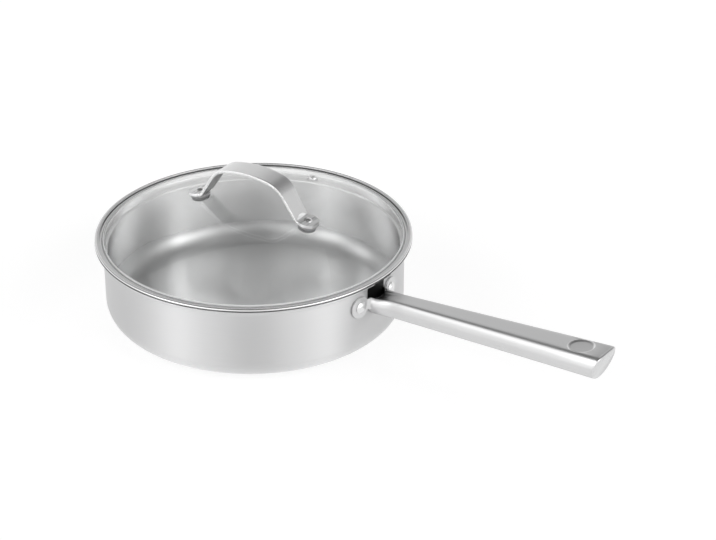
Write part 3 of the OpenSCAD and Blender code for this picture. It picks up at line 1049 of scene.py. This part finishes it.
def sheetOutline(path, thickness):
    # the closed outline of a bent sheet whose middle line is the path
    outer, inner = [], []
    for i, here in enumerate(path):
        back = Vector(path[max(i - 1, 0)])
        front = Vector(path[min(i + 1, len(path) - 1)])
        here = Vector(here)
        before = (here - back).normalized() if i else (front - here).normalized()
        after = (front - here).normalized() if i < len(path) - 1 else before
        normals = [Vector((-d.y, d.x)) for d in (before, after)]
        mitre = (normals[0] + normals[1]) / (1 + normals[0].dot(normals[1]))
        outer.append(tuple(here + mitre * thickness / 2))
        inner.append(tuple(here - mitre * thickness / 2))
    return outer + inner[::-1]


def buildRing():
    # from the skirt's curled foot up under the glass, over its edge, out along the flange and round the bead
    g = lid
    t, curl = g["ringSheet"], g["skirtCurl"]
    under = domeRadius - g["glass"]
    shelfZ = domeZ + math.sqrt(under ** 2 - g["glassRadius"] ** 2) - 0.0002 - t / 2
    skirt = g["skirtRadius"] - t / 2
    wall = g["seamRadius"] + t / 2
    flangeZ = g["lip"] + t * 1.5 + 0.0001
    roll = (g["ringHeight"] - t) / 2
    rollZ = g["lip"] + g["ringHeight"] / 2
    rollFrom = 180 + math.degrees(math.asin((rollZ - flangeZ) / roll))
    path = arcPoints(skirt - curl, g["lip"] + curl - g["skirtDepth"], curl, -160, 0, 12)
    path += arcPoints(skirt + t, shelfZ - t, t, 180, 90, 6)
    path += arcPoints(wall - t, shelfZ + t, t, -90, 0, 6)
    path += arcPoints(wall + t, flangeZ - g["flangeFall"] - t, t, 180, 94, 6)
    path += arcPoints(g["ringRadius"] - t / 2 - roll, rollZ, roll, rollFrom, -90, 16)
    path += [(wall + t * 6, g["lip"] + t / 2)]
    piece = turnedPiece("lidRing", sheetOutline(path, t))
    smooth(piece, 45)
    finishPiece(piece, ringSteel, "lid", "lid_rim_ring")


buildGlass()
buildRing()
print("lid glass ready")


# strap and vent on the lid

strap = {
    "width": 0.019, "thickness": 0.0023, "edge": 0.00055, "legSlope": 57, "foot": 0.009, "neck": 0.0081,
    "crownRadius": 0.090, "crownHalf": 0.021, "shoulder": 0.020, "heel": 0.004, "across": 12,
    "rivetShank": 0.00198, "rivetHead": 0.0036, "headHeight": 0.0018, "tailHeight": 0.0012,
    "gasket": 0.0019, "gasketBore": 0.002, "gasketEdge": 0.0004, "gasketInset": 0.001, "fit": 0.00002,
    "innerGasket": 0.0013, "washer": 0.0008,
}


def strapPath():
    # middle line of the strap's right half, as x and z, from the crown to where the foot starts,
    # then the foot's centre and the way along it
    s = strap
    slope, tilt = math.radians(s["legSlope"]), math.radians(footTilt)
    heel = s["heel"] - s["thickness"] / 2
    out = domeRadius + s["gasket"] + s["thickness"] / 2
    foot = Vector((out * math.sin(tilt), domeZ + out * math.cos(tilt)))
    along = Vector((math.cos(tilt), -math.sin(tilt)))
    heelEnd = foot - along * (s["rivetHead"] + 0.0012)
    heelMid = heelEnd + heel * Vector((math.sin(tilt), math.cos(tilt)))
    heelStart = heelMid - heel * Vector((math.sin(slope), math.cos(slope)))
    crown = math.asin(s["crownHalf"] / s["crownRadius"])
    run = s["shoulder"] * (math.sin(slope) - math.sin(crown))
    fall = s["shoulder"] * (math.cos(crown) - math.cos(slope))
    legRun = heelStart.x - s["crownHalf"] - run
    drop = s["crownRadius"] * (1 - math.cos(crown))
    crownZ = heelStart.y + legRun * math.tan(slope) + fall + drop
    crownEnd = Vector((s["crownHalf"], crownZ - drop))
    middle = crownEnd - s["shoulder"] * Vector((math.sin(crown), math.cos(crown)))
    degrees = math.degrees(crown)
    path = arcPoints(0, crownZ - s["crownRadius"], s["crownRadius"], 90, 90 - degrees, 6)
    path += arcPoints(middle.x, middle.y, s["shoulder"], 86 - degrees, 90 - s["legSlope"], 10)
    legEnd = Vector(path[-1])
    path += [tuple(legEnd.lerp(heelStart, k / 5)) for k in (1, 2, 3, 4)]
    path += arcPoints(heelMid.x, heelMid.y, heel, 270 - s["legSlope"], 270 - footTilt, 8)
    return path, foot, along


def strapHalfWidth(x):
    s = strap
    neckX = lid["strapSpan"] / 2 - math.sqrt(s["foot"] ** 2 - s["neck"] ** 2)
    if x <= s["crownHalf"]:
        return s["width"] / 2
    share = min(1, (x - s["crownHalf"]) / (neckX - s["crownHalf"]))
    return s["width"] / 2 - (s["width"] / 2 - s["neck"]) * (1 - math.cos(math.pi * share)) / 2


def footMask(tree):
    # one on the strap's two round feet
    shares = []
    for hand in (1, -1):
        middle = onDome(hand * footTilt) @ Vector((0, 0, strap["gasket"]))
        gap = addVectorMath(tree, "DISTANCE", objectPlace(tree), middle)
        shares.append(fade(tree, gap, strap["foot"] + 0.0006, strap["foot"] - 0.0004))
    return addMath(tree, "ADD", *shares)


def strapPaintedLightAndBands(tree, look, colour, rough):
    # the edges are painted bright as a highlight, the leg that leans to the right is painted dimmer as
    # shade, and bands cross the feet
    facing, feet = facingWay(tree), footMask(tree)
    sideways = addMath(tree, "ABSOLUTE", addVectorMath(tree, "DOT_PRODUCT", facing, look["edgeWay"]))
    edge = fade(tree, sideways, *look["edgeFacing"])
    leg = fade(tree, splitUp(tree, facing)["X"], *look["legFacing"])
    across = addMapping(tree, objectPlace(tree), (0, 0, look["feetTurn"]), look["feetLines"])
    bands = fade(tree, addNoise(tree, across, 1), 0.42, 0.58)
    banded = mix(tree, bands, grey(look["feetLow"]), grey(look["feetHigh"]))
    for share, tone in ((edge, grey(look["edge"])), (leg, grey(look["leg"])), (feet, banded)):
        colour = mix(tree, share, colour, tone, "MULTIPLY")
    return colour, mix(tree, feet, rough, look["feetRough"], kind="FLOAT")


strapSteel = steelMaterial("strapSteel", strapPaintedLightAndBands)


def buildStrap():
    s = strap
    path, foot, along = strapPath()
    rows = [(x, z, strapHalfWidth(x)) for x, z in path]
    start = -math.sqrt(s["foot"] ** 2 - s["neck"] ** 2)
    for turn in range(-60, 88, 7):
        away = s["foot"] * math.sin(math.radians(turn))
        spot = foot + along * away
        if spot.x > rows[-1][0] + 0.0003 and away > start:
            rows.append((spot.x, spot.y, s["foot"] * math.cos(math.radians(turn))))
    deselectAll()
    bpy.ops.mesh.primitive_plane_add(size=1, location=(0.5, 0, 0))
    piece = bpy.context.object
    piece.name = "lidStrap"
    applyPlace()
    startEdit(piece)
    pick(piece, lambda v: v.co.x > 0.5)
    bpy.ops.mesh.delete(type="VERT")
    bpy.ops.mesh.select_all(action="SELECT")
    bpy.ops.mesh.subdivide(number_cuts=s["across"] - 1)
    bpy.ops.mesh.select_all(action="SELECT")
    stretch((1, rows[0][2] * 2, 1), (0, 0, 0))
    shift((0, 0, rows[0][1]))
    for (x0, z0, w0), (x1, z1, w1) in zip(rows, rows[1:]):
        pullOut((x1 - x0, 0, z1 - z0))
        stretch((1, w1 / w0, 1), (x1, 0, z1))
    endEdit()
    applyModifier(piece, "MIRROR", use_axis=(True, False, False), merge_threshold=0.00001)
    startEdit(piece)
    squareUp()
    mesh = bmesh.from_edit_mesh(piece.data)
    if max(mesh.faces, key=lambda f: f.calc_center_median().z).normal.z < 0:
        bpy.ops.mesh.flip_normals()
    endEdit()
    thicken(piece, s["thickness"], 0)
    softenEdges(piece, s["edge"], 50)
    placePiece(piece, Matrix.Rotation(math.radians(lid["turn"]), 4, "Z"))
    smooth(piece)
    finishPiece(piece, strapSteel, "lid", "lid_strap")


def buildStrapFixings():
    s = strap
    head, bore, edge = s["rivetHead"], s["gasketBore"], s["gasketEdge"]
    grip = s["gasket"] + s["thickness"] + lid["glass"] + s["innerGasket"] + s["washer"]
    rivetLine = rivetOutline(s["rivetShank"], head, s["headHeight"], grip, head - 0.0003, s["tailHeight"])
    r, hole = s["foot"] - s["gasketInset"], lid["rivetHole"] - s["fit"]
    top, low = s["gasket"] - s["fit"], 0.0002 - lid["glass"]
    discLine = [(bore, top), (bore, low), (hole, low), (hole, -s["fit"] / 2), (r, -0.0001)]
    discLine += arcPoints(r - edge, top - edge, edge, 0, 90, 5)
    for which, hand in (("near", 1), ("far", -1)):
        place = onDome(hand * footTilt)
        stud = turnedPiece("strapRivet" + which.capitalize(), rivetLine, 64)
        placePiece(stud, place @ Matrix.Translation((0, 0, s["gasket"] + s["thickness"])))
        smooth(stud)
        finishPiece(stud, brightSteel, "lid", "strap_rivet_" + which)
        disc = turnedPiece("strapGasket" + which.capitalize(), discLine, 64)
        placePiece(disc, place)
        smooth(disc)
        finishPiece(disc, darkSilicone, "lid", "strap_gasket_" + which)


vent = {"wall": 0.001, "fit": 0.00005,
        "flange": 0.0016, "foot": 0.0009, "rimEdge": 0.0005, "boreEdge": 0.0004}


def buildVent():
    v = vent
    hole, glass, rim, lip = lid["ventHole"], lid["glass"], v["rimEdge"], v["boreEdge"]
    barrel, bore, flange = hole - v["fit"], hole - v["wall"], hole + v["flange"]
    low, seat, top = -glass - v["foot"], -glass - 0.0001, 0.00002
    outline = [(bore, low), (flange - 0.0006, low), (flange - 0.0003, seat)]
    outline += [(barrel, seat), (barrel, top), (flange, top)]
    outline += arcPoints(flange - rim, 0.0003, rim, 0, 90, 5)
    outline += arcPoints(bore + lip, lip, lip, 90, 180, 5)
    piece = turnedPiece("ventEyelet", outline, 64)
    placePiece(piece, onDome(ventTilt, 90))
    smooth(piece)
    finishPiece(piece, capSteel, "lid", "vent_eyelet")


buildStrap()
buildStrapFixings()
buildVent()
print("strap ready")


# small pieces whose meshes are the frame's own

keptNodes = {
    "base_core": roundSteel, "lid_rim_seal": clearSilicone,
    "inner_gasket_near": darkSilicone, "inner_gasket_far": darkSilicone,
    "inner_washer_near": brightSteel, "inner_washer_far": brightSteel,
}
for name, material in keptNodes.items():
    dressPiece(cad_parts[name], material)
print("kept nodes finished")
